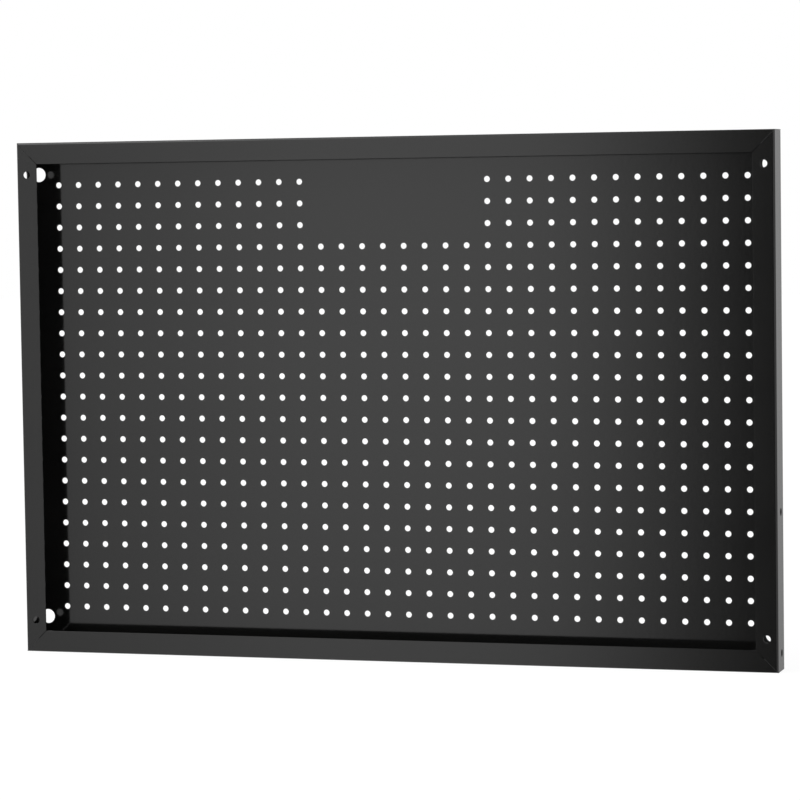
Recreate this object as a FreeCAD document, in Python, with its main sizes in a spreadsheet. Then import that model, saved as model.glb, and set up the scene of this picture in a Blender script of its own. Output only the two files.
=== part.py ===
import FreeCAD, Part
import math
import os

import Sketcher
from FreeCAD import Placement, Rotation, Vector

# Wall pegboard panel: one shallow steel pan, open at the back.
# X runs to the right as seen from the front, Y runs back into the wall, Z is up.
# The origin is the centre of the four wall screws, on the plane of the rear lips.
# The perforated face looks along -Y, and its four walls fold back from it to the lips.

# Driving sizes in millimetres: alias, value, meaning.
SIZES = (
    ("width", 914.4, "overall width, 36 in"),
    ("height", 609.6, "overall height, 24 in"),
    ("depth", 38.1, "overall depth from the face to the rear of the lips, 1 1/2 in"),
    ("sheet", 1.2, "thickness of the steel sheet"),
    ("bend_inner", 1.5, "inside radius of every fold"),
    ("lip", 25.4, "width of the rear lips, measured from the outside of the wall"),
    ("pitch", 25.4, "distance between peg holes, across and up"),
    ("peg_hole", 7.14, "diameter of a peg hole, 9/32 in"),
    ("side_margin", 38.1, "least distance from a side edge to the first column"),
    ("end_margin", 50.8, "least distance from the top or bottom edge to the first row"),
    ("blank_columns", 8, "columns left out of the top rows, in the middle"),
    ("blank_rows", 3, "rows that stop at the blank field"),
    ("mount_side", 12.7, "centre of a wall screw hole from the side edge"),
    ("mount_end", 38.1, "centre of a wall screw hole from the top or bottom edge"),
    ("mount_hole", 8.5, "diameter of a wall screw hole in a lip"),
    ("access_hole", 17, "diameter of the screwdriver hole in front of it"),
    ("side_hole", 8.5, "diameter of the joining holes in the side walls"),
    ("side_hole_back", 16, "centre line of the side wall holes, behind the face"),
    ("side_hole_low", 20, "height of the lower joining hole above the bottom edge"),
    ("side_hole_high", 180, "height of the upper joining hole above the bottom edge"),
    ("port_hole", 14.5, "diameter of the larger hole in the right side wall"),
    ("port_drop", 39, "centre of the larger hole below the top edge"),
    ("seam_gap", 0.6, "width of the open mitre seam at a corner"),
    ("weld_reach", 16, "how far a corner weld runs in from the outer corner"),
)

BEND = "(Sizes.bend_inner + Sizes.sheet)"
COLUMNS = "(floor((Sizes.width - 2 * Sizes.side_margin) / Sizes.pitch + 0.01) + 1)"
ROWS = "(floor((Sizes.height - 2 * Sizes.end_margin) / Sizes.pitch + 0.01) + 1)"
LEFT_COLUMNS = f"floor(({COLUMNS} - Sizes.blank_columns) / 2 + 0.01)"
RIGHT_COLUMNS = f"({COLUMNS} - Sizes.blank_columns - {LEFT_COLUMNS})"
GRID_HALF_WIDTH = f"(({COLUMNS} - 1) * Sizes.pitch / 2)"
GRID_HALF_HEIGHT = f"(({ROWS} - 1) * Sizes.pitch / 2)"
SEAM_OFFSET = "(Sizes.seam_gap / sqrt(2))"

SKETCH_ORIGIN = (-1, 1)
H_AXIS = -1
V_AXIS = -2
START, END, CENTRE = 1, 2, 3

doc = FreeCAD.newDocument("pegboard")


def make_sheet():
    """Write the driving sizes into the spreadsheet, one row each."""
    sheet = doc.addObject("Spreadsheet::Sheet", "Sizes")
    for row, (alias, value, meaning) in enumerate(SIZES, start=1):
        sheet.set(f"A{row}", meaning)
        sheet.set(f"B{row}", str(value))
        sheet.setAlias(f"B{row}", alias)
    doc.recompute()
    return sheet


SHEET = make_sheet()


def number(expression):
    """Value of an expression on the spreadsheet, in millimetres."""
    return float(SHEET.evalExpression(expression.replace("Sizes.", "")))


def origin_plane(body, role):
    """One of a body's own three origin planes."""
    return next(item for item in body.Origin.OriginFeatures if item.Role == role)


def new_body(label):
    body = doc.addObject("PartDesign::Body", label)
    body.Label = label
    return body


def new_sketch(body, name, role):
    """Empty sketch on one of the body's origin planes."""
    sketch = body.newObject("Sketcher::SketchObject", f"{body.Label}_{name}")
    sketch.AttachmentSupport = [(origin_plane(body, role), "")]
    sketch.MapMode = "FlatFace"
    return sketch


def new_feature(body, kind, name):
    return body.newObject(f"PartDesign::{kind}", f"{body.Label}_{name}")


def join(sketch, kind, *pairs):
    """Add one constraint of this kind for each tuple of geometry references."""
    for references in pairs:
        sketch.addConstraint(Sketcher.Constraint(kind, *references))


def size(sketch, kind, name, expression, *references):
    """Add a dimension, give it a name and bind it to the spreadsheet."""
    index = sketch.addConstraint(Sketcher.Constraint(kind, *references, number(expression)))
    sketch.renameConstraint(index, name)
    sketch.setExpression(f"Constraints.{name}", expression)


def offset(sketch, name, point, x_side, x_size, y_side, y_size):
    """Hold a point at x_size and y_size from the sketch's origin, on the sides given."""
    for kind, side, value, axis in (("DistanceX", x_side, x_size, "x"), ("DistanceY", y_side, y_size, "y")):
        ends = (*SKETCH_ORIGIN, *point) if side > 0 else (*point, *SKETCH_ORIGIN)
        size(sketch, kind, f"{name}_{axis}", value, *ends)


def add_circle(sketch, name, diameter, x_side, x_size, y_side, y_size):
    """Circle whose diameter and centre are bound to the spreadsheet."""
    centre = Vector(x_side * number(x_size), y_side * number(y_size), 0)
    circle = sketch.addGeometry(Part.Circle(centre, Vector(0, 0, 1), number(diameter) / 2), False)
    size(sketch, "Diameter", f"{name}_diameter", diameter, circle)
    offset(sketch, name, (circle, CENTRE), x_side, x_size, y_side, y_size)


def add_polyline(sketch, points):
    """Closed outline of straight lines, each joined to the next; returns its first line."""
    ends = [Vector(x, y, 0) for x, y in points]
    lines = [Part.LineSegment(a, b) for a, b in zip(ends, ends[1:] + ends[:1])]
    first = sketch.addGeometry(lines, False)[0]
    count = len(lines)
    join(sketch, "Coincident", *[(first + i, END, first + (i + 1) % count, START) for i in range(count)])
    return first


def add_rectangle(sketch, width, height):
    """Rectangle of this width and height about the sketch's origin."""
    x, y = number(width) / 2, number(height) / 2
    first = add_polyline(sketch, [(-x, -y), (x, -y), (x, y), (-x, y)])
    join(sketch, "Horizontal", (first,), (first + 2,))
    join(sketch, "Vertical", (first + 1,), (first + 3,))
    join(sketch, "Symmetric", (first, START, first + 2, START, *SKETCH_ORIGIN))
    size(sketch, "DistanceX", "rectangle_width", width, first, START, first, END)
    size(sketch, "DistanceY", "rectangle_height", height, first + 1, START, first + 1, END)


def add_corner_triangle(sketch, name, leg, tip, square, x_side, x_size, y_side, y_size):
    """Right triangle with two equal legs, whose long side runs at 45 degrees.

    tip is the unit step from the square corner to the end of the level leg, and square
    the step from there to the end of the upright leg. The square corner is held at
    x_size and y_size from the sketch's origin.
    """
    x, y, span = x_side * number(x_size), y_side * number(y_size), number(leg)
    first = add_polyline(sketch, [(x, y), (x + tip * span, y), (x, y + square * span)])
    join(sketch, "Horizontal", (first,))
    join(sketch, "Vertical", (first + 2,))
    join(sketch, "Equal", (first, first + 2))
    ends = (first, START, first, END) if tip > 0 else (first, END, first, START)
    size(sketch, "DistanceX", f"{name}_leg", leg, *ends)
    offset(sketch, name, (first, START), x_side, x_size, y_side, y_size)


def pad(body, sketch, name, length, both_ways=False):
    feature = new_feature(body, "Pad", name)
    feature.Profile = sketch
    feature.Midplane = both_ways
    feature.setExpression("Length", length)
    body.Tip = feature
    return feature


def punch(body, sketch, name, length=None, against_normal=True):
    """Pocket through the sheet from the sketch's plane, or through all with no length."""
    feature = new_feature(body, "Pocket", name)
    feature.Profile = sketch
    if length is None:
        feature.Type = "ThroughAll"
        feature.Midplane = True
    else:
        feature.setExpression("Length", length)
        feature.Reversed = not against_normal
    body.Tip = feature
    return feature


def repeat_in_grid(body, feature, sketch, name, pitch_x, count_x, pitch_y, count_y):
    """Repeat a feature in rows and columns along the sketch's two axes."""
    grid = new_feature(body, "LinearPattern", name)
    grid.Originals = [feature]
    grid.Direction = (sketch, ["H_Axis"])
    grid.setExpression("Length", f"({pitch_x}) * ({count_x} - 1)")
    grid.setExpression("Occurrences", count_x)
    grid.Direction2 = (sketch, ["V_Axis"])
    grid.setExpression("Length2", f"({pitch_y}) * ({count_y} - 1)")
    grid.setExpression("Occurrences2", count_y)
    body.Tip = grid
    return grid


def make_face_sheet():
    """Flat perforated face between the front folds.

    It is pierced by the access holes in front of the wall screws and by three fields of
    peg holes: the full rows below, and a field each side of the blank one at the top.
    """
    body = new_body("face_sheet")
    body.setExpression("Placement.Base.y", "Sizes.sheet - Sizes.depth")
    outline = new_sketch(body, "outline", "XZ_Plane")
    add_rectangle(outline, f"Sizes.width - 2 * {BEND}", f"Sizes.height - 2 * {BEND}")
    pad(body, outline, "plate", "Sizes.sheet")

    access = new_sketch(body, "access", "XZ_Plane")
    add_circle(access, "access", "Sizes.access_hole",
               -1, "Sizes.width / 2 - Sizes.mount_side", -1, "Sizes.height / 2 - Sizes.mount_end")
    access_hole = punch(body, access, "access_hole")
    repeat_in_grid(body, access_hole, access, "access_holes",
                   "Sizes.width - 2 * Sizes.mount_side", "2", "Sizes.height - 2 * Sizes.mount_end", "2")

    full_rows = f"({ROWS} - Sizes.blank_rows)"
    top_row = f"(-{GRID_HALF_HEIGHT} + {full_rows} * Sizes.pitch)"
    right_start = f"({GRID_HALF_WIDTH} - ({RIGHT_COLUMNS} - 1) * Sizes.pitch)"
    fields = (
        ("lower", -1, GRID_HALF_WIDTH, -1, GRID_HALF_HEIGHT, COLUMNS, full_rows),
        ("upper_left", -1, GRID_HALF_WIDTH, 1, top_row, LEFT_COLUMNS, "Sizes.blank_rows"),
        ("upper_right", 1, right_start, 1, top_row, RIGHT_COLUMNS, "Sizes.blank_rows"),
    )
    for name, x_side, x_size, y_side, y_size, columns, rows in fields:
        first = new_sketch(body, f"{name}_peg", "XZ_Plane")
        add_circle(first, "peg", "Sizes.peg_hole", x_side, x_size, y_side, y_size)
        hole = punch(body, first, f"{name}_hole")
        repeat_in_grid(body, hole, first, f"{name}_field", "Sizes.pitch", columns, "Sizes.pitch", rows)
    return body


def add_folded_profile(sketch, reach):
    """Section across one edge of the pan: front fold, wall, rear fold and lip.

    The outside of the wall is on the upright axis and the rear of the lip on the level
    one. reach is the width of the lip, from the outside of the wall.
    """
    thickness, inner = number("Sizes.sheet"), number("Sizes.bend_inner")
    outer, depth, lip = inner + thickness, number("Sizes.depth"), number(reach)
    front = Vector(-outer, outer - depth, 0)
    rear = Vector(-outer, -outer, 0)

    def arc(centre, radius, start, end):
        circle = Part.Circle(centre, Vector(0, 0, 1), radius)
        return Part.ArcOfCircle(circle, math.radians(start), math.radians(end))

    def line(x0, y0, x1, y1):
        return Part.LineSegment(Vector(x0, y0, 0), Vector(x1, y1, 0))

    shapes = {
        "front_outer": arc(front, outer, -90, 0),
        "wall_outer": line(0, outer - depth, 0, -outer),
        "rear_outer": arc(rear, outer, 0, 90),
        "lip_outer": line(-outer, 0, -lip, 0),
        "lip_edge": line(-lip, 0, -lip, -thickness),
        "lip_inner": line(-lip, -thickness, -outer, -thickness),
        "rear_inner": arc(rear, inner, 0, 90),
        "wall_inner": line(-thickness, -outer, -thickness, outer - depth),
        "front_inner": arc(front, inner, -90, 0),
        "front_edge": line(-outer, thickness - depth, -outer, -depth),
    }
    g = dict(zip(shapes, sketch.addGeometry(list(shapes.values()), False)))
    join(sketch, "Tangent",
         (g["front_outer"], END, g["wall_outer"], START), (g["wall_outer"], END, g["rear_outer"], START),
         (g["rear_outer"], END, g["lip_outer"], START), (g["lip_inner"], END, g["rear_inner"], END),
         (g["rear_inner"], START, g["wall_inner"], START), (g["wall_inner"], END, g["front_inner"], END))
    join(sketch, "Coincident",
         (g["lip_outer"], END, g["lip_edge"], START), (g["lip_edge"], END, g["lip_inner"], START),
         (g["front_inner"], START, g["front_edge"], START), (g["front_edge"], END, g["front_outer"], START),
         (g["front_outer"], CENTRE, g["front_inner"], CENTRE),
         (g["rear_outer"], CENTRE, g["rear_inner"], CENTRE))
    join(sketch, "Vertical", (g["wall_outer"],), (g["lip_edge"],), (g["wall_inner"],), (g["front_edge"],),
         (g["front_outer"], CENTRE, g["front_outer"], START))
    join(sketch, "Horizontal", (g["lip_outer"],), (g["lip_inner"],))
    join(sketch, "PointOnObject", (g["wall_outer"], START, V_AXIS), (g["lip_outer"], START, H_AXIS))
    join(sketch, "Equal", (g["front_inner"], g["rear_inner"]))
    size(sketch, "Radius", "bend_inner", "Sizes.bend_inner", g["rear_inner"])
    size(sketch, "DistanceX", "reach", reach, g["lip_outer"], END, *SKETCH_ORIGIN)
    size(sketch, "DistanceY", "thickness", "Sizes.sheet", g["lip_edge"], END, g["lip_edge"], START)
    size(sketch, "DistanceY", "depth", "Sizes.depth", g["front_outer"], START, g["lip_outer"], START)


def place(body, turn, x_size, z_size):
    """Turn a body about Y and move it to one edge or corner of the pan."""
    body.Placement = Placement(Vector(0, 0, 0), Rotation(Vector(0, 1, 0), turn))
    body.setExpression("Placement.Base.x", x_size)
    body.setExpression("Placement.Base.z", z_size)


def make_channel(label, length, turn, x_size, z_size, lip_holes, wall_holes):
    """One folded edge of the pan, mitred at both ends.

    It is drawn as the right-hand edge, running along Z with its wall's outside on the
    plane X = 0, and then turned about Y into its place. wall_holes lists, for each hole
    in the wall, its name, diameter, side of the middle and distance from the middle.
    """
    body = new_body(label)
    profile = new_sketch(body, "profile", "XY_Plane")
    add_folded_profile(profile, "Sizes.lip")
    pad(body, profile, "folded_edge", length, both_ways=True)

    seam = new_sketch(body, "seam", "XZ_Plane")
    add_corner_triangle(seam, "seam", "Sizes.lip + 2 * Sizes.seam_gap", 1, -1,
                        -1, "Sizes.lip + Sizes.seam_gap",
                        1, f"{length} / 2 + Sizes.seam_gap - {SEAM_OFFSET}")
    ends = [punch(body, seam, "mitre")]
    if lip_holes:
        screw = new_sketch(body, "screw", "XZ_Plane")
        add_circle(screw, "screw", "Sizes.mount_hole",
                   -1, "Sizes.mount_side", 1, f"{length} / 2 - Sizes.mount_end")
        ends.append(punch(body, screw, "screw_hole", "Sizes.sheet", against_normal=False))
    mirror = new_feature(body, "Mirrored", "other_end")
    mirror.Originals = ends
    mirror.MirrorPlane = (origin_plane(body, "XY_Plane"), [""])
    body.Tip = mirror

    if wall_holes:
        wall = new_sketch(body, "wall", "YZ_Plane")
        for name, diameter, side, distance in wall_holes:
            add_circle(wall, name, diameter, -1, "Sizes.depth - Sizes.side_hole_back", side, distance)
        punch(body, wall, "wall_holes", "Sizes.sheet")
    place(body, turn, x_size, z_size)
    return body


def make_corner_weld(label, turn, x_size, z_size):
    """Weld that fills the outer part of one mitre seam.

    It has the folded section of the edges, cut off at weld_reach, and lies between the
    two planes of the seam. It is drawn at the top right corner and turned about Y.
    """
    body = new_body(label)
    profile = new_sketch(body, "profile", "XY_Plane")
    add_folded_profile(profile, "Sizes.weld_reach")
    bar = pad(body, profile, "bead", "Sizes.weld_reach + Sizes.seam_gap")
    bar.Reversed = True

    sides = new_sketch(body, "sides", "XZ_Plane")
    leg = "Sizes.weld_reach + 3 * Sizes.seam_gap"
    far = "Sizes.weld_reach + 2 * Sizes.seam_gap"
    add_corner_triangle(sides, "above", leg, 1, -1, -1, far, 1, f"Sizes.seam_gap + {SEAM_OFFSET}")
    add_corner_triangle(sides, "below", leg, -1, 1, 1, "Sizes.seam_gap", -1, f"{far} + {SEAM_OFFSET}")
    punch(body, sides, "sides")
    place(body, turn, x_size, z_size)
    return body


def make_edges():
    """Four folded edges: label, length, turn about Y, place, and holes."""
    low = "Sizes.height / 2 - Sizes.side_hole_low"
    high = "Sizes.height / 2 - Sizes.side_hole_high"
    port = "Sizes.height / 2 - Sizes.port_drop"
    right = [("low", "Sizes.side_hole", -1, low), ("high", "Sizes.side_hole", -1, high),
             ("port", "Sizes.port_hole", 1, port)]
    left = [("low", "Sizes.side_hole", 1, low), ("high", "Sizes.side_hole", 1, high)]
    return [
        make_channel("right_channel", "Sizes.height", 0, "Sizes.width / 2", "0", True, right),
        make_channel("left_channel", "Sizes.height", 180, "-Sizes.width / 2", "0", True, left),
        make_channel("top_channel", "Sizes.width", -90, "0", "Sizes.height / 2", False, []),
        make_channel("bottom_channel", "Sizes.width", 90, "0", "-Sizes.height / 2", False, []),
    ]


def make_corners():
    """Four corner welds: label, turn about Y and place."""
    return [
        make_corner_weld("corner_weld_top_right", 0, "Sizes.width / 2", "Sizes.height / 2"),
        make_corner_weld("corner_weld_bottom_right", 90, "Sizes.width / 2", "-Sizes.height / 2"),
        make_corner_weld("corner_weld_bottom_left", 180, "-Sizes.width / 2", "-Sizes.height / 2"),
        make_corner_weld("corner_weld_top_left", -90, "-Sizes.width / 2", "Sizes.height / 2"),
    ]


def check(bodies):
    """Stop if any object failed or any piece is not one valid solid."""
    for item in doc.Objects:
        if {"Invalid", "Error"} & set(item.State):
            raise RuntimeError(f"{item.Name} failed: {item.State}")
    for body in bodies:
        shape = body.Shape
        if shape.isNull() or not shape.isValid() or len(shape.Solids) != 1:
            raise RuntimeError(f"{body.Label} is not one valid solid")


pieces = [make_face_sheet(), *make_edges(), *make_corners()]
doc.recompute()
check(pieces)
os.makedirs("parts", exist_ok=True)
for piece in pieces:
    piece.Shape.exportStep(f"parts/{piece.Label}.step")
    box = piece.Shape.BoundBox
    print(f"{piece.Label}: {piece.Shape.Volume:.1f} mm3, {len(piece.Shape.Faces)} faces, "
          f"x {box.XMin:.2f} to {box.XMax:.2f}, y {box.YMin:.2f} to {box.YMax:.2f}, "
          f"z {box.ZMin:.2f} to {box.ZMax:.2f}")
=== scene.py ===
import logging
import math
from dataclasses import dataclass, field
from enum import Enum
from typing import Any, Callable

import bpy
import numpy as np
from mathutils import Euler, Matrix


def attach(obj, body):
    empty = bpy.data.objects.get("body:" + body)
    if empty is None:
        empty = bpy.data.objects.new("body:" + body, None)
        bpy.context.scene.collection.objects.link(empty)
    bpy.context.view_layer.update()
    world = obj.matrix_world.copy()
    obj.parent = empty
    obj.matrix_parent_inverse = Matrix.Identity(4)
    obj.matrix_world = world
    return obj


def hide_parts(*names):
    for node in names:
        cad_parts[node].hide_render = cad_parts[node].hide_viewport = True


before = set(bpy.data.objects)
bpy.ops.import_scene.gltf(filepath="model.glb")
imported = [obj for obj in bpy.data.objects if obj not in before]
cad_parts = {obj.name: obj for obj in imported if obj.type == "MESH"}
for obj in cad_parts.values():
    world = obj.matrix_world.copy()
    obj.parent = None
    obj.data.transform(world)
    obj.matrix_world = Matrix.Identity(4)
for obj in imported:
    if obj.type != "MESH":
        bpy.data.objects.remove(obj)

# Wall pegboard panel, seen from behind: one shallow pan of black powder-coated steel.
# Lengths are in metres. X is right as seen from the front, Y runs into the wall, Z is up.

LOG = logging.getLogger("pegboard")
MM = 0.001
BODY = "root"
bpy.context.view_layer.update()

# A hole sits in a square block of grid cells, whose lines stand at these shares of its half
# width, so that the points of its outline lie every 22.5 degrees round the middle.
SLANT = math.tan(math.pi / 8)
BLOCK_STEPS = np.array([-1, -SLANT, 0, SLANT, 1])
BLOCK_CELLS = len(BLOCK_STEPS) - 1

# Ring points for each point of the block's outline: one at a peg hole, more at larger holes.
SCREW_FINER = 2
LARGE_FINER = 3

# Grid lines round a fold, and the decimals of a metre to which two grid lines are one.
FOLD_LINES = 11
SAME_LINE_DECIMALS = 7

# Sockets of a Mix node for colours, which share their names with its other kinds.
MIX_FIRST, MIX_SECOND, MIX_RESULT = 6, 7, 2

# Refraction of the coat, and the detail of the fine noise in its bumps.
COAT_IOR = 1.5
FINE_DETAIL = 2.0

WHITE = (1, 1, 1, 1)


class Edge(Enum):
    """The four folded edges, each with its turn about Y from the right-hand edge."""

    RIGHT = 0
    LEFT = 180
    TOP = -90
    BOTTOM = 90


@dataclass(frozen=True)
class Pan:
    """Driving sizes of the folded pan, and from coat_edge on the sizes of its mesh only.

    The coat eases each cut edge by coat_edge, and grids stop joint_edge short of a joint.
    hole_block is half the width of a hole's block in a folded edge. access_inner and
    access_outer are how far the grid lines either side of an access hole's middle stand
    from it. The last mitre_zone of an edge is drawn in to the mitre, and the top and bottom
    edges have a grid line mitre_line from the end.
    """

    width: float = 914.4 * MM
    height: float = 609.6 * MM
    depth: float = 38.1 * MM
    sheet: float = 1.2 * MM
    bend_inner: float = 1.5 * MM
    lip: float = 25.4 * MM
    pitch: float = 25.4 * MM
    columns: int = 34
    rows: int = 21
    blank_columns: int = 8
    blank_rows: int = 3
    peg_hole: float = 7.14 * MM
    mount_side: float = 12.7 * MM
    mount_end: float = 38.1 * MM
    mount_hole: float = 8.5 * MM
    access_hole: float = 17.0 * MM
    side_hole: float = 8.5 * MM
    side_hole_back: float = 16.0 * MM
    side_hole_low: float = 20.0 * MM
    side_hole_high: float = 180.0 * MM
    port_hole: float = 14.5 * MM
    port_drop: float = 39.0 * MM
    seam_gap: float = 0.6 * MM
    coat_edge: float = 0.25 * MM
    joint_edge: float = 0.01 * MM
    hole_block: float = 9.05 * MM
    access_inner: float = 6.0 * MM
    access_outer: float = 5.0 * MM
    mitre_zone: float = 28.95 * MM
    mitre_line: float = 30.5 * MM

    @property
    def bend_outer(self) -> float:
        """Outside radius of a fold."""
        return self.bend_inner + self.sheet

    @property
    def bend_length(self) -> float:
        """Length of a fold round its outside, a quarter of a circle."""
        return self.bend_outer * math.pi / 2

    @property
    def wall_flat(self) -> float:
        """Flat part of a side wall, between its two folds."""
        return self.depth - 2 * self.bend_outer

    @property
    def lip_flat(self) -> float:
        """Flat part of a lip, from its fold to its free edge."""
        return self.lip - self.bend_outer

    @property
    def seam_offset(self) -> float:
        """How far a mitred end stands back from the diagonal, along the edge."""
        return self.seam_gap / math.sqrt(2)


@dataclass(frozen=True)
class Punch:
    """Round holes punched through a sheet, on its flat pattern.

    cells holds the lowest grid cell of each hole's block, and finer the number of ring
    points for each point of the block's outline.
    """

    cells: np.ndarray
    centres: np.ndarray
    radius: float
    finer: int = 1


SheetPoint = Callable[[np.ndarray, np.ndarray, np.ndarray], np.ndarray]


@dataclass
class PunchedSheet:
    """A sheet with thickness, made on its flat pattern and then folded.

    The pattern is a grid of lines u across and v up. w is the depth into the sheet.
    place turns (u, v, w) into points, and facing gives the outward normal at (u, v).
    margins say how far the cut edge stands beyond the grid at low u, high u, low v, high v.
    """

    u_lines: np.ndarray
    v_lines: np.ndarray
    thickness: float
    rounding: float
    place: SheetPoint
    facing: SheetPoint
    margins: tuple[float, float, float, float]
    punches: list[Punch]
    _points: list[np.ndarray] = field(default_factory=list, init=False)
    _normals: list[np.ndarray] = field(default_factory=list, init=False)
    _quads: list[np.ndarray] = field(default_factory=list, init=False)
    _triangles: list[np.ndarray] = field(default_factory=list, init=False)
    _count: int = field(default=0, init=False)

    def build(self, name: str) -> bpy.types.Object:
        """Make the mesh object.

        The front and back are the grid's cells, less the blocks of the holes. Each
        hole is a set of rings, and so is the outer edge: a ring on the front, one
        rounding depth in, one rounding depth from the back, and one on the back. A
        ring point is the centre plus the radius times (cos a, sin a).

        Args:
            name: The name of the piece.

        Returns:
            The linked object, with smooth faces and a normal given at every vertex.
        """
        nu, nv = len(self.u_lines), len(self.v_lines)
        u, v = (lines.ravel() for lines in np.meshgrid(self.u_lines, self.v_lines, indexing="ij"))
        index = np.arange(nu * nv).reshape(nu, nv)
        zero = np.zeros_like(u)
        out = self.facing(u, v, zero)
        self._add_points(self.place(u, v, zero), out)
        self._add_points(self.place(u, v, zero + self.thickness), -out)
        solid = np.ones((nu - 1, nv - 1), bool)
        step_u, step_v = np.meshgrid(range(BLOCK_CELLS), range(BLOCK_CELLS), indexing="ij")
        for punch in self.punches:
            low_u, low_v = punch.cells[:, 0, None, None], punch.cells[:, 1, None, None]
            solid[low_u + step_u, low_v + step_v] = False
        i, j = np.nonzero(solid)
        front = np.stack([index[i, j], index[i + 1, j], index[i + 1, j + 1], index[i, j + 1]], 1)
        self._quads += [front, front[:, ::-1] + index.size]
        for punch in self.punches:
            self._add_holes(punch, index)
        self._add_outer_edge(index)
        return self._make_object(name)

    def _levels(self) -> list[tuple[float, float]]:
        """Depth of each of the four rings, and its widening as a share of the rounding."""
        return [(0, 1), (self.rounding, 0), (self.thickness - self.rounding, 0), (self.thickness, 1)]

    def _add_holes(self, punch: Punch, index: np.ndarray) -> None:
        """Add the rings and walls of one set of holes.

        Args:
            punch: The holes.
            index: Vertex numbers of the front grid, by u and v line.
        """
        n, span = BLOCK_CELLS, np.arange(BLOCK_CELLS)
        ring_u = np.concatenate([span, np.full(n, n), n - span, np.zeros(n, int)])
        ring_v = np.concatenate([np.zeros(n, int), span, np.full(n, n), n - span])
        loop = index[punch.cells[:, :1] + ring_u, punch.cells[:, 1:] + ring_v]
        sides = 4 * n * punch.finer
        lowest_corner = -3 * math.pi / 4
        angle = lowest_corner + np.arange(sides) * 2 * math.pi / sides
        direction = np.stack([np.cos(angle), np.sin(angle)], 1)
        rings = []
        for depth, wide in self._levels():
            spot = punch.centres[:, None] + (punch.radius + wide * self.rounding) * direction
            flat_u, flat_v = spot[..., 0].ravel(), spot[..., 1].ravel()
            deep = np.full_like(flat_u, depth)
            points = self.place(flat_u, flat_v, deep)
            if wide:
                normals = self.facing(flat_u, flat_v, deep) * (1 if depth == 0 else -1)
            else:
                middle = np.repeat(punch.centres, sides, axis=0)
                normals = self.place(middle[:, 0], middle[:, 1], deep) - points
            rings.append(self._add_points(points, normals).reshape(-1, sides))
        self._fan(loop, rings[0], punch.finer, False)
        for lower, upper in zip(rings, rings[1:]):
            self._band(lower, upper)
        self._fan(loop + index.size, rings[-1], punch.finer, True)

    def _add_outer_edge(self, index: np.ndarray) -> None:
        """Close the sheet round its outside, with the margin of each side beyond the grid.

        A vertex's normal points away from the place a little further in.

        Args:
            index: Vertex numbers of the front grid, by u and v line.
        """
        nu, nv = index.shape
        along_u, along_v = np.arange(nu - 1), np.arange(nv - 1)
        i = np.concatenate([along_u, np.full(nv - 1, nu - 1), nu - 1 - along_u, np.zeros(nv - 1, int)])
        j = np.concatenate([np.zeros(nu - 1, int), along_v, np.full(nu - 1, nv - 1), nv - 1 - along_v])
        low_u, high_u, low_v, high_v = self.margins
        step_u = np.where(i == nu - 1, high_u, 0) - np.where(i == 0, low_u, 0)
        step_v = np.where(j == nv - 1, high_v, 0) - np.where(j == 0, low_v, 0)
        u, v = self.u_lines[i] + step_u, self.v_lines[j] + step_v
        inner_u = self.u_lines[i] - np.sign(step_u) * MM
        inner_v = self.v_lines[j] - np.sign(step_v) * MM
        rings = [index[i, j]]
        for depth in (self.rounding, self.thickness - self.rounding):
            deep = np.full_like(u, depth)
            points = self.place(u, v, deep)
            rings.append(self._add_points(points, points - self.place(inner_u, inner_v, deep)))
        rings.append(index[i, j] + index.size)
        for lower, upper in zip(rings, rings[1:]):
            self._band(lower[None, ::-1], upper[None, ::-1])

    def _add_points(self, points: np.ndarray, normals: np.ndarray) -> np.ndarray:
        """Add vertices with their normals.

        Args:
            points: One row per vertex.
            normals: The same, of any length but zero.

        Returns:
            The numbers of the new vertices.
        """
        first = self._count
        self._points.append(points)
        self._normals.append(normals)
        self._count += len(points)
        return np.arange(first, self._count)

    def _band(self, lower: np.ndarray, upper: np.ndarray) -> None:
        """Join two closed rings of equal length with quads."""
        after = np.roll(lower, -1, 1), np.roll(upper, -1, 1)
        self._quads.append(np.stack([lower, after[0], after[1], upper], -1).reshape(-1, 4))

    def _fan(self, loop: np.ndarray, ring: np.ndarray, finer: int, back: bool) -> None:
        """Fill the flat between a block's outline and its hole's ring.

        Each outline point fans out to the ring's points up to the next outline point, or
        a quad joins them where both have as many points.

        Args:
            loop: Outline vertex numbers, one row per hole.
            ring: Ring vertex numbers, finer times as many per hole.
            finer: Ring points for each outline point.
            back: True on the back of the sheet, where faces turn round.
        """
        after = np.roll(loop, -1, 1)
        if finer == 1:
            quads = np.stack([loop, after, np.roll(ring, -1, 1), ring], -1).reshape(-1, 4)
            self._quads.append(quads[:, ::-1] if back else quads)
            return
        faces = []
        for step in range(finer):
            near = ring[:, step::finer]
            far = np.roll(ring, -1, 1)[:, step::finer]
            faces.append(np.stack([loop, far, near], -1))
        faces.append(np.stack([loop, after, np.roll(ring, -1, 1)[:, finer - 1::finer]], -1))
        triangles = np.concatenate([face.reshape(-1, 3) for face in faces])
        self._triangles.append(triangles[:, ::-1] if back else triangles)

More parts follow.
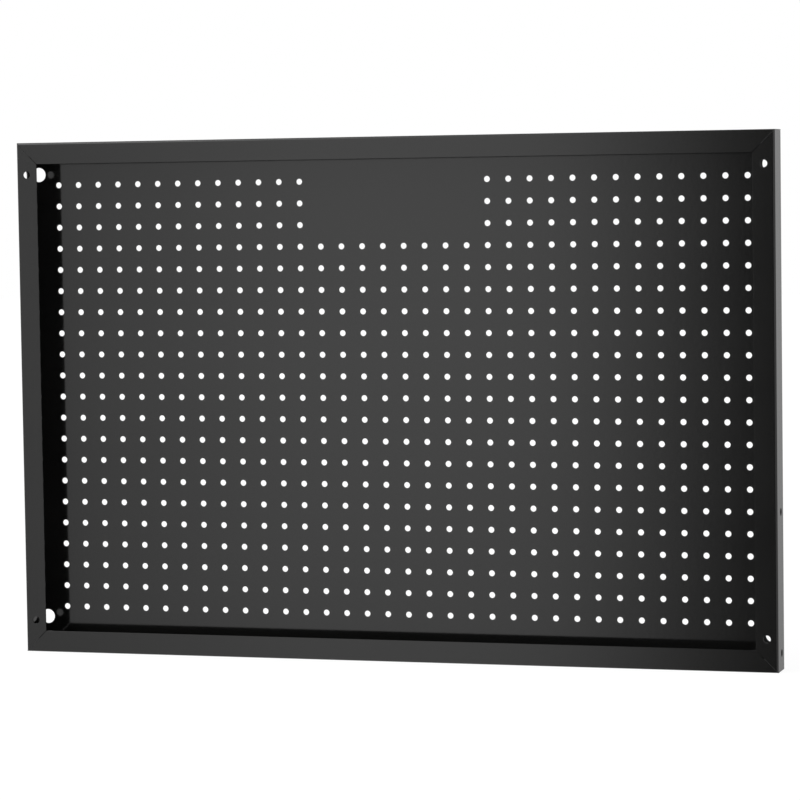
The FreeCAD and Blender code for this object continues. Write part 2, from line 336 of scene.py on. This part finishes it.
    def _make_object(self, name: str) -> bpy.types.Object:
        """Drop unused vertices, turn the faces outwards and make the mesh object.

        All faces turn round if, summed up, the quads look against their vertices' normals.

        Args:
            name: The name of the piece.

        Returns:
            The linked object.
        """
        points, normals = np.concatenate(self._points), np.concatenate(self._normals)
        quads = np.concatenate(self._quads)
        triangles = np.concatenate([*self._triangles, np.zeros((0, 3), int)])
        a, b, c = (points[quads[:, k]] for k in (0, 1, 2))
        across = np.einsum("ij,ij->i", np.cross(b - a, c - a), normals[quads[:, 0]])
        if across.sum() < 0:
            quads, triangles = quads[:, ::-1], triangles[:, ::-1]
        corners = np.concatenate([quads.ravel(), triangles.ravel()])
        used, corners = np.unique(corners, return_inverse=True)
        sizes = np.concatenate([np.full(len(quads), 4), np.full(len(triangles), 3)])
        mesh = bpy.data.meshes.new(name)
        mesh.vertices.add(len(used))
        mesh.vertices.foreach_set("co", points[used].astype(np.float32).ravel())
        mesh.loops.add(len(corners))
        mesh.loops.foreach_set("vertex_index", corners.astype(np.int32).ravel())
        mesh.polygons.add(len(sizes))
        mesh.polygons.foreach_set("loop_start", (np.cumsum(sizes) - sizes).astype(np.int32))
        mesh.update(calc_edges=True)
        mesh.validate()
        mesh.shade_smooth()
        facing = normals[used]
        facing = facing / np.linalg.norm(facing, axis=1, keepdims=True)
        mesh.normals_split_custom_set_from_vertices(facing.astype(np.float32))
        piece = bpy.data.objects.new(name, mesh)
        bpy.context.scene.collection.objects.link(piece)
        return piece


@dataclass
class PerforatedFace:
    """The flat face of the pan, with its peg holes and the four access holes."""

    pan: Pan

    def build(self) -> bpy.types.Object:
        """Make the face; the flat pattern's u is X and its v is Z.

        Tiles one pitch wide hold the peg holes. Beyond them stand the lines of the access
        holes: those above and below the tiles mirror the last ones of the tiles.

        Returns:
            The piece, which rides on the body and stands for face_sheet.
        """
        pan = self.pan
        u_tiles = self._tile_lines(pan.columns)
        v_tiles = self._tile_lines(pan.rows)
        half_u = pan.width / 2 - pan.bend_outer - pan.joint_edge
        half_v = pan.height / 2 - pan.bend_outer - pan.joint_edge
        hole_u = pan.width / 2 - pan.mount_side
        hole_v = pan.height / 2 - pan.mount_end
        side = np.array([hole_u - pan.access_inner, hole_u, hole_u + pan.access_outer, half_u])
        rise = np.array([*(2 * v_tiles[-1] - v_tiles[[-2, -3]]), half_v])
        u_lines = np.concatenate([-side[::-1], u_tiles, side])
        v_lines = np.concatenate([-rise[::-1], v_tiles, rise])
        pegs = self._pegs(len(side), len(rise))
        access = self._access(len(u_lines), len(v_lines), hole_u, hole_v)
        sheet = PunchedSheet(
            u_lines, v_lines, pan.sheet, pan.coat_edge, self._place, self._facing,
            (pan.joint_edge,) * 4, [pegs, access])
        piece = sheet.build("perforated_face")
        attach(piece, BODY)
        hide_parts("face_sheet")
        return piece

    def _tile_lines(self, count: int) -> np.ndarray:
        """Grid lines of a row of square tiles, each the block of one peg hole.

        Args:
            count: Number of tiles.

        Returns:
            The lines; a tile's last is the next one's first.
        """
        centres = (np.arange(count) - (count - 1) / 2) * self.pan.pitch
        lines = centres[:, None] + BLOCK_STEPS[:-1] * self.pan.pitch / 2
        return np.append(lines.ravel(), centres[-1] + self.pan.pitch / 2)

    def _pegs(self, before_u: int, before_v: int) -> Punch:
        """Every hole of the square grid outside the blank field at the top middle.

        Args:
            before_u: Number of grid lines before the first tile, across.
            before_v: The same, up.

        Returns:
            The peg holes.
        """
        pan = self.pan
        column, row = np.meshgrid(np.arange(pan.columns), np.arange(pan.rows), indexing="ij")
        first = (pan.columns - pan.blank_columns) // 2
        blank = (column >= first) & (column < first + pan.blank_columns) & (row >= pan.rows - pan.blank_rows)
        column, row = column[~blank], row[~blank]
        centres = np.stack([column - (pan.columns - 1) / 2, row - (pan.rows - 1) / 2], 1) * pan.pitch
        cells = np.stack([before_u + BLOCK_CELLS * column, before_v + BLOCK_CELLS * row], 1)
        return Punch(cells, centres, pan.peg_hole / 2)

    def _access(self, nu: int, nv: int, u: float, v: float) -> Punch:
        """The four holes through which a screwdriver reaches the wall screws.

        Across, a block starts or ends at the grid's outermost line, and up at the one next
        to it.

        Args:
            nu: Number of grid lines across.
            nv: Number of grid lines up.
            u: Distance of the holes from the middle, across.
            v: The same, up.

        Returns:
            The four holes.
        """
        last_u, last_v = nu - 1 - BLOCK_CELLS, nv - 2 - BLOCK_CELLS
        cells = np.array([[i, j] for i in (0, last_u) for j in (1, last_v)])
        centres = np.array([[x, y] for x in (-u, u) for y in (-v, v)])
        return Punch(cells, centres, self.pan.access_hole / 2, LARGE_FINER)

    def _place(self, u: np.ndarray, v: np.ndarray, w: np.ndarray) -> np.ndarray:
        """Flat: X is u, Z is v, and Y is the face's front plus w."""
        return np.stack([u, w - self.pan.depth, v], 1)

    def _facing(self, u: np.ndarray, v: np.ndarray, w: np.ndarray) -> np.ndarray:
        """The face looks along -Y everywhere."""
        return np.tile([0.0, -1.0, 0.0], (len(u), 1))


@dataclass
class FoldedEdge:
    """One edge of the pan: front fold, wall, rear fold and lip, mitred at both ends."""

    pan: Pan
    edge: Edge

    @property
    def half_length(self) -> float:
        """Half the length of this edge, from corner to corner."""
        upright = self.edge in (Edge.RIGHT, Edge.LEFT)
        return (self.pan.height if upright else self.pan.width) / 2

    def build(self) -> bpy.types.Object:
        """Make the edge; u runs along it and v across it, from the face to the lip.

        Returns:
            The piece, which rides on the body and stands for its channel.
        """
        pan = self.pan
        bend, wall = pan.bend_length, pan.wall_flat
        arc = np.linspace(0, bend, FOLD_LINES)
        lip_start = 2 * bend + wall
        wall_hole = bend + pan.side_hole_back - pan.bend_outer
        lip_hole = lip_start + pan.mount_side - pan.bend_outer
        block = BLOCK_STEPS * pan.hole_block
        free_edge = lip_start + pan.lip_flat - pan.coat_edge
        v_lines = np.concatenate([arc, wall_hole + block, bend + wall + arc, lip_hole + block, [free_edge]])
        v_lines[0] = pan.joint_edge
        wall_cell, lip_cell = len(arc), 2 * len(arc) + len(BLOCK_STEPS)
        stations, punches = self._stations((wall_hole, wall_cell), (lip_hole, lip_cell))
        sheet = PunchedSheet(
            stations, v_lines, pan.sheet, pan.coat_edge, self._place, self._facing,
            (pan.joint_edge, pan.joint_edge, pan.joint_edge, pan.coat_edge), punches)
        name = f"{self.edge.name.lower()}_edge"
        piece = sheet.build(name)
        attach(piece, BODY)
        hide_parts(f"{self.edge.name.lower()}_channel")
        return piece

    def _stations(self, wall: tuple[float, int], lip: tuple[float, int]) -> tuple[np.ndarray, list[Punch]]:
        """Grid lines along the edge, and the holes that they make room for.

        Args:
            wall: Line of the wall holes round the section, and the first cell of its block.
            lip: The same for the screw holes in the lip.

        Returns:
            The grid lines, and the sets of holes: none on the top and bottom edges.
        """
        pan, end = self.pan, self.half_length - self.pan.seam_offset - self.pan.joint_edge
        if self.edge in (Edge.TOP, Edge.BOTTOM):
            inner = self.half_length - pan.mitre_line
            return np.array([-end, -inner, 0, inner, end]), []
        side = 1 if self.edge is Edge.RIGHT else -1
        screw = self.half_length - pan.mount_end
        low = side * (pan.side_hole_low - self.half_length)
        high = side * (pan.side_hole_high - self.half_length)
        port = self.half_length - pan.port_drop
        middles = sorted([low, high, -screw, screw])
        lines = [[-end], *(middle + BLOCK_STEPS * pan.hole_block for middle in middles), [end]]
        stations = np.unique(np.round(np.concatenate(lines), SAME_LINE_DECIMALS))
        start = {middle: int(np.argmin(abs(stations - middle + pan.hole_block))) for middle in middles}

        def holes(blocks: tuple[float, ...], places: tuple[float, ...], line: tuple[float, int],
                  diameter: float, finer: int) -> Punch:
            """Holes at these places, each in the block that starts at its own line."""
            cells = np.array([[start[block], line[1]] for block in blocks])
            return Punch(cells, np.array([[place, line[0]] for place in places]), diameter / 2, finer)

        punches = [holes((-screw, screw), (-screw, screw), lip, pan.mount_hole, SCREW_FINER),
                   holes((low, high), (low, high), wall, pan.side_hole, SCREW_FINER)]
        if self.edge is Edge.RIGHT:
            punches.append(holes((screw,), (port,), wall, pan.port_hole, LARGE_FINER))
        return stations, punches

    def _section(self, v: np.ndarray, w: np.ndarray) -> tuple[np.ndarray, np.ndarray, np.ndarray, np.ndarray]:
        """Point and outward normal of the folded section.

        On a fold the point is its centre plus (outer radius - w) times the normal, which
        turns by v over the outer radius; on a flat it moves straight on by v.

        Args:
            v: Distance round the outside, from where the front fold starts.
            w: Depth into the sheet.

        Returns:
            Local x, local y, and the normal's x and y.
        """
        pan = self.pan
        outer, bend, wall = pan.bend_outer, pan.bend_length, pan.wall_flat
        front = np.clip(v, 0, bend) / outer
        rear = np.clip(v - bend - wall, 0, bend) / outer
        turn = front + rear
        nx, ny = np.sin(turn), -np.cos(turn)
        along_wall = np.clip(v - bend, 0, wall)
        along_lip = np.clip(v - 2 * bend - wall, 0, None)
        x = -outer + (outer - w) * nx - along_lip
        y = -pan.depth + outer + (outer - w) * ny + along_wall
        return x, y, nx, ny

    def _turned(self, x: np.ndarray, y: np.ndarray, z: np.ndarray) -> np.ndarray:
        """Turn local vectors about Y by this edge's angle."""
        c, s = round(math.cos(math.radians(self.edge.value))), round(math.sin(math.radians(self.edge.value)))
        return np.stack([c * x + s * z, y, c * z - s * x], 1)

    def _place(self, u: np.ndarray, v: np.ndarray, w: np.ndarray) -> np.ndarray:
        """Fold the pattern, pull its ends in to the mitre and move it to its side.

        Beyond the last screw hole u is drawn in evenly, so that its end lies on the 45
        degree plane of the seam, where the length left falls as fast as x.

        Args:
            u: Distance along the edge from its middle.
            v: Distance round the outside, from where the front fold starts.
            w: Depth into the sheet.

        Returns:
            The points, in the frame.
        """
        x, y, _, _ = self._section(v, w)
        full = self.half_length - self.pan.seam_offset
        fixed = self.half_length - self.pan.mitre_zone
        beyond = np.clip((abs(u) - fixed) / (full - fixed), 0, None)
        along = np.sign(u) * (np.minimum(abs(u), fixed) + beyond * (full + x - fixed))
        spot = self._turned(x, y, along)
        out = self._turned(np.array([self._offset]), np.array([0.0]), np.array([0.0]))
        return spot + out

    @property
    def _offset(self) -> float:
        """Distance of this edge's outside from the middle of the pan."""
        upright = self.edge in (Edge.RIGHT, Edge.LEFT)
        return (self.pan.width if upright else self.pan.height) / 2

    def _facing(self, u: np.ndarray, v: np.ndarray, w: np.ndarray) -> np.ndarray:
        """Outward normal of the folded section."""
        _, _, nx, ny = self._section(v, w)
        return self._turned(nx, ny, np.zeros_like(nx))


class Value:
    """A shader socket that adds Math nodes when it is used in an expression."""

    def __init__(self, shader: "Shader", socket: bpy.types.NodeSocket) -> None:
        """Keep the socket and the tree it belongs to."""
        self.shader = shader
        self.socket = socket

    def _math(self, operation: str, a: Any, b: Any) -> "Value":
        """Add one Math node of this operation."""
        return self.shader.node("ShaderNodeMath", {"operation": operation}, {0: a, 1: b})

    def __add__(self, other: Any) -> "Value":
        """Sum of two values."""
        return self._math("ADD", self, other)

    __radd__ = __add__

    def __sub__(self, other: Any) -> "Value":
        """Difference of two values."""
        return self._math("SUBTRACT", self, other)

    def __rsub__(self, other: Any) -> "Value":
        """Difference with the value on the right."""
        return self._math("SUBTRACT", other, self)

    def __mul__(self, other: Any) -> "Value":
        """Product of two values."""
        return self._math("MULTIPLY", self, other)

    __rmul__ = __mul__


class Shader:
    """A node tree that is filled through one generic method."""

    def __init__(self, tree: bpy.types.NodeTree) -> None:
        """Start with an empty tree."""
        self.tree = tree
        tree.nodes.clear()

    def node(self, kind: str, settings: dict[str, Any] | None = None,
             inputs: dict[Any, Any] | None = None, output: Any = 0) -> Value:
        """Add a node, set it up and connect it.

        Args:
            kind: The node's type.
            settings: Properties of the node, or "stops" for a ramp's (place, colour) list.
            inputs: Values or links for its sockets, by name or number.
            output: Name or number of the socket to return.

        Returns:
            The chosen output.
        """
        node = self.tree.nodes.new(kind)
        for key, value in (settings or {}).items():
            if key == "stops":
                elements = node.color_ramp.elements
                elements.remove(elements[1])
                elements[0].position, elements[0].color = value[0]
                for place, colour in value[1:]:
                    elements.new(place).color = colour
            else:
                setattr(node, key, value)
        for key, value in (inputs or {}).items():
            if isinstance(value, Value):
                self.tree.links.new(value.socket, node.inputs[key])
            else:
                node.inputs[key].default_value = value
        return Value(self, node.outputs[output] if len(node.outputs) else None)

    def ease(self, value: Value, low: float, high: float) -> Value:
        """Map low to high onto 0 to 1, held at both ends."""
        return self.node("ShaderNodeMapRange", {}, {"Value": value, "From Min": low, "From Max": high})

    def noise(self, place: Value, scale: float, detail: float) -> Value:
        """Noise over a place, from 0 to 1."""
        inputs = {"Vector": place, "Scale": scale, "Detail": detail}
        return self.node("ShaderNodeTexNoise", {}, inputs, "Fac")


@dataclass(frozen=True)
class PowderCoat:
    """Semi-gloss black powder coat: a dark, fairly sharp mirror with a faint orange peel."""

    name: str = "black_powder_coat"
    colour: tuple[float, float, float, float] = (0.006, 0.006, 0.006, 1)
    colour_light: tuple[float, float, float, float] = (0.010, 0.010, 0.0095, 1)
    roughness: float = 0.095
    roughness_change: float = 0.03
    cloud_scale: float = 9.0
    cloud_detail: float = 4.0
    peel_scale: float = 260.0
    peel_strength: float = 0.05
    peel_height: float = 0.2 * MM
    grain_scale: float = 2600.0
    grain_strength: float = 0.02
    grain_height: float = 0.05 * MM

    def make(self) -> bpy.types.Material:
        """Make the material: cloudy colour and roughness, with two sizes of bump.

        Returns:
            The material.
        """
        material = bpy.data.materials.new(self.name)
        material.use_nodes = True
        shader = Shader(material.node_tree)
        place = shader.node("ShaderNodeTexCoord", output="Object")
        cloud = shader.noise(place, self.cloud_scale, self.cloud_detail)
        peel = shader.noise(place, self.peel_scale, FINE_DETAIL)
        grain = shader.noise(place, self.grain_scale, FINE_DETAIL)
        colour = shader.node("ShaderNodeMix", {"data_type": "RGBA"}, {
            "Factor": cloud, MIX_FIRST: self.colour, MIX_SECOND: self.colour_light}, MIX_RESULT)
        bump = shader.node("ShaderNodeBump", {}, {
            "Strength": self.peel_strength, "Distance": self.peel_height, "Height": peel})
        bump = shader.node("ShaderNodeBump", {}, {
            "Strength": self.grain_strength, "Distance": self.grain_height, "Height": grain, "Normal": bump})
        surface = shader.node("ShaderNodeBsdfPrincipled", {}, {
            "Base Color": colour, "Roughness": self.roughness + (cloud - 0.5) * self.roughness_change,
            "IOR": COAT_IOR, "Normal": bump})
        shader.node("ShaderNodeOutputMaterial", {}, {"Surface": surface})
        return material


@dataclass(frozen=True)
class WeldCoat:
    """The same coat over a weld bead: rougher, with the ripples of the bead."""

    name: str = "coated_weld"
    colour: tuple[float, float, float, float] = (0.008, 0.008, 0.008, 1)
    roughness: float = 0.34
    roughness_change: float = 0.1
    ripple_scale: float = 420.0
    ripple_waver: float = 2.0
    ripple_strength: float = 0.4
    ripple_height: float = 0.3 * MM
    grain_scale: float = 1500.0
    grain_share: float = 0.2

    def make(self) -> bpy.types.Material:
        """Make the material: ripples along the bead, and a grain over them.

        Returns:
            The material.
        """
        material = bpy.data.materials.new(self.name)
        material.use_nodes = True
        shader = Shader(material.node_tree)
        place = shader.node("ShaderNodeTexCoord", output="Object")
        ripple = shader.node("ShaderNodeTexWave", {"wave_type": "BANDS", "bands_direction": "X"}, {
            "Vector": place, "Scale": self.ripple_scale / (2 * math.pi),
            "Distortion": self.ripple_waver}, "Fac")
        grain = shader.noise(place, self.grain_scale, FINE_DETAIL)
        height = ripple * (1 - self.grain_share) + grain * self.grain_share
        bump = shader.node("ShaderNodeBump", {}, {
            "Strength": self.ripple_strength, "Distance": self.ripple_height, "Height": height})
        surface = shader.node("ShaderNodeBsdfPrincipled", {}, {
            "Base Color": self.colour, "Roughness": self.roughness + grain * self.roughness_change,
            "IOR": COAT_IOR, "Normal": bump})
        shader.node("ShaderNodeOutputMaterial", {}, {"Surface": surface})
        return material


@dataclass
class Studio:
    """White ground, soft light and the camera of the photograph.

    The camera's place and clip distances and the floor's reach are in metres, the camera's
    turn in degrees and its sensor in millimetres. A light is a strength, where 1 is white,
    and low_light is the share of it that is left low down. The lights' places are parts of
    a direction of length 1, x to the side, y behind the board and z up. flag says where the
    black flag begins, is full, stops being full and ends. The soft box is full from there,
    and softbox says where it stops being full and ends. Both lie within rear_span of the
    middle. behind, overhead_up, overhead_side and low each say where a light begins to grow
    and where it is full.
    """

    pan: Pan
    camera_place: tuple[float, float, float] = (-1.1566, 3.6800, 0.2493)
    camera_turn: tuple[float, float, float] = (86.305, 0.828, -162.849)
    focal_pixels: float = 3340.0
    frame_pixels: int = 800
    sensor: float = 36.0
    clip: tuple[float, float] = (0.1, 100.0)
    front_light: float = 0.6
    behind: tuple[float, float] = (-0.05, 0.05)
    overhead_light: float = 2.5
    overhead_up: tuple[float, float] = (0.3, 0.5)
    overhead_side: tuple[float, float] = (0.28, 0.4)
    backdrop_light: float = 0.9
    softbox_light: float = 1.4
    rear_span: float = 0.6
    flag: tuple[float, float, float, float] = (-0.45, -0.30, 0.19, 0.25)
    softbox: tuple[float, float] = (0.32, 0.40)
    low_light: float = 0.8
    low: tuple[float, float] = (-0.16, -0.05)
    floor_reach: float = 12.0
    floor_colour: tuple[float, float, float, float] = (0.8, 0.8, 0.8, 1)
    floor_white: float = 1.09
    floor_white_share: float = 0.85

    def build(self) -> None:
        """Set up the camera, the world and the floor."""
        self._camera()
        self._world()
        self._floor()

    def _camera(self) -> None:
        """Camera of the photograph: where it stands, and its turns about X, Y and Z in degrees.

        Both were solved from where the peg holes lie in the photograph.
        """
        data = bpy.data.cameras.new("camera")
        data.sensor_width = self.sensor
        data.lens = self.focal_pixels / self.frame_pixels * self.sensor
        data.clip_start, data.clip_end = self.clip
        camera = bpy.data.objects.new("camera", data)
        bpy.context.scene.collection.objects.link(camera)
        turn = Euler([math.radians(angle) for angle in self.camera_turn])
        camera.matrix_world = Matrix.Translation(self.camera_place) @ turn.to_matrix().to_4x4()
        bpy.context.scene.camera = camera

    def _world(self) -> None:
        """White for the camera; for light, a backdrop, two lights and a black flag.

        The face mirrors what is behind the camera: an even backdrop, a black flag round
        the camera and a soft box beside it, placed by the x of their direction. An overhead
        light stands high on one side there. On the front's side the light is even. All but
        the overhead light falls off a little low down.
        """
        world = bpy.data.worlds.new("studio")
        bpy.context.scene.world = world
        world.use_nodes = True
        shader = Shader(world.node_tree)
        camera_ray = shader.node("ShaderNodeLightPath", output="Is Camera Ray")
        direction = shader.node("ShaderNodeTexCoord", output="Generated")
        x, y, z = (shader.node("ShaderNodeSeparateXYZ", {}, {0: direction}, axis) for axis in "XYZ")
        places = (-self.rear_span, *self.flag, *self.softbox, self.rear_span)
        even = self.backdrop_light / self.softbox_light
        shares = (even, even, 0, 0, 1, 1, even, even)
        stops = [(place / (2 * self.rear_span) + 0.5, (share, share, share, 1))
                 for place, share in zip(places, shares)]
        rear = shader.node("ShaderNodeValToRGB", {"stops": stops},
                           {"Fac": shader.ease(x, -self.rear_span, self.rear_span)})
        behind = shader.ease(y, *self.behind)
        low = shader.ease(z, *self.low) * (1 - self.low_light) + self.low_light
        level = (self.front_light + (rear * self.softbox_light - self.front_light) * behind) * low
        overhead = shader.ease(z, *self.overhead_up) * shader.ease(x, *self.overhead_side)
        level = level + overhead * self.overhead_light * behind
        strength = level * (1 - camera_ray) + camera_ray
        light = shader.node("ShaderNodeBackground", {}, {"Color": WHITE, "Strength": strength})
        shader.node("ShaderNodeOutputWorld", {}, {"Surface": light})

    def _floor(self) -> None:
        """Pale floor under the lower edge, white to the camera apart from a faint shadow.

        Mirrored rays pass through it, so that the coat mirrors the lights alone.
        """
        reach, low = self.floor_reach, -self.pan.height / 2
        corners = [(-reach, -reach, low), (reach, -reach, low), (reach, reach, low), (-reach, reach, low)]
        mesh = bpy.data.meshes.new("floor")
        mesh.from_pydata(corners, [], [(0, 1, 2, 3)])
        floor = bpy.data.objects.new("floor", mesh)
        bpy.context.scene.collection.objects.link(floor)
        material = bpy.data.materials.new("white_floor")
        material.use_nodes = True
        shader = Shader(material.node_tree)
        camera_ray = shader.node("ShaderNodeLightPath", output="Is Camera Ray")
        glossy_ray = shader.node("ShaderNodeLightPath", output="Is Glossy Ray")
        matt = shader.node("ShaderNodeBsdfDiffuse", {}, {"Color": self.floor_colour})
        white = shader.node("ShaderNodeEmission", {}, {"Color": WHITE, "Strength": self.floor_white})
        clear = shader.node("ShaderNodeBsdfTransparent")
        share = camera_ray * self.floor_white_share
        ground = shader.node("ShaderNodeMixShader", {}, {0: share, 1: matt, 2: white})
        surface = shader.node("ShaderNodeMixShader", {}, {0: glossy_ray, 1: ground, 2: clear})
        shader.node("ShaderNodeOutputMaterial", {}, {"Surface": surface})
        mesh.materials.append(material)


def dress(piece: bpy.types.Object, material: bpy.types.Material) -> None:
    """Give a piece its one material.

    Args:
        piece: A new piece, or a CAD node that is carried over.
        material: Its finish.
    """
    piece.data.materials.clear()
    piece.data.materials.append(material)


def main() -> None:
    """Build the pan piece by piece, dress it and set up the studio."""
    logging.basicConfig(level=logging.INFO, format="%(message)s")
    bpy.context.scene.view_settings.view_transform = "Standard"
    pan = Pan()
    coat, weld = PowderCoat().make(), WeldCoat().make()
    makers = [PerforatedFace(pan), *(FoldedEdge(pan, edge) for edge in Edge)]
    for maker in makers:
        piece = maker.build()
        dress(piece, coat)
        LOG.info("%s: %d faces", piece.name, len(piece.data.polygons))
    for name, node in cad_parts.items():
        if name.startswith("corner_weld"):
            dress(node, weld)
            LOG.info("%s: carried over", name)
    Studio(pan).build()


if __name__ == "__main__":
    main()
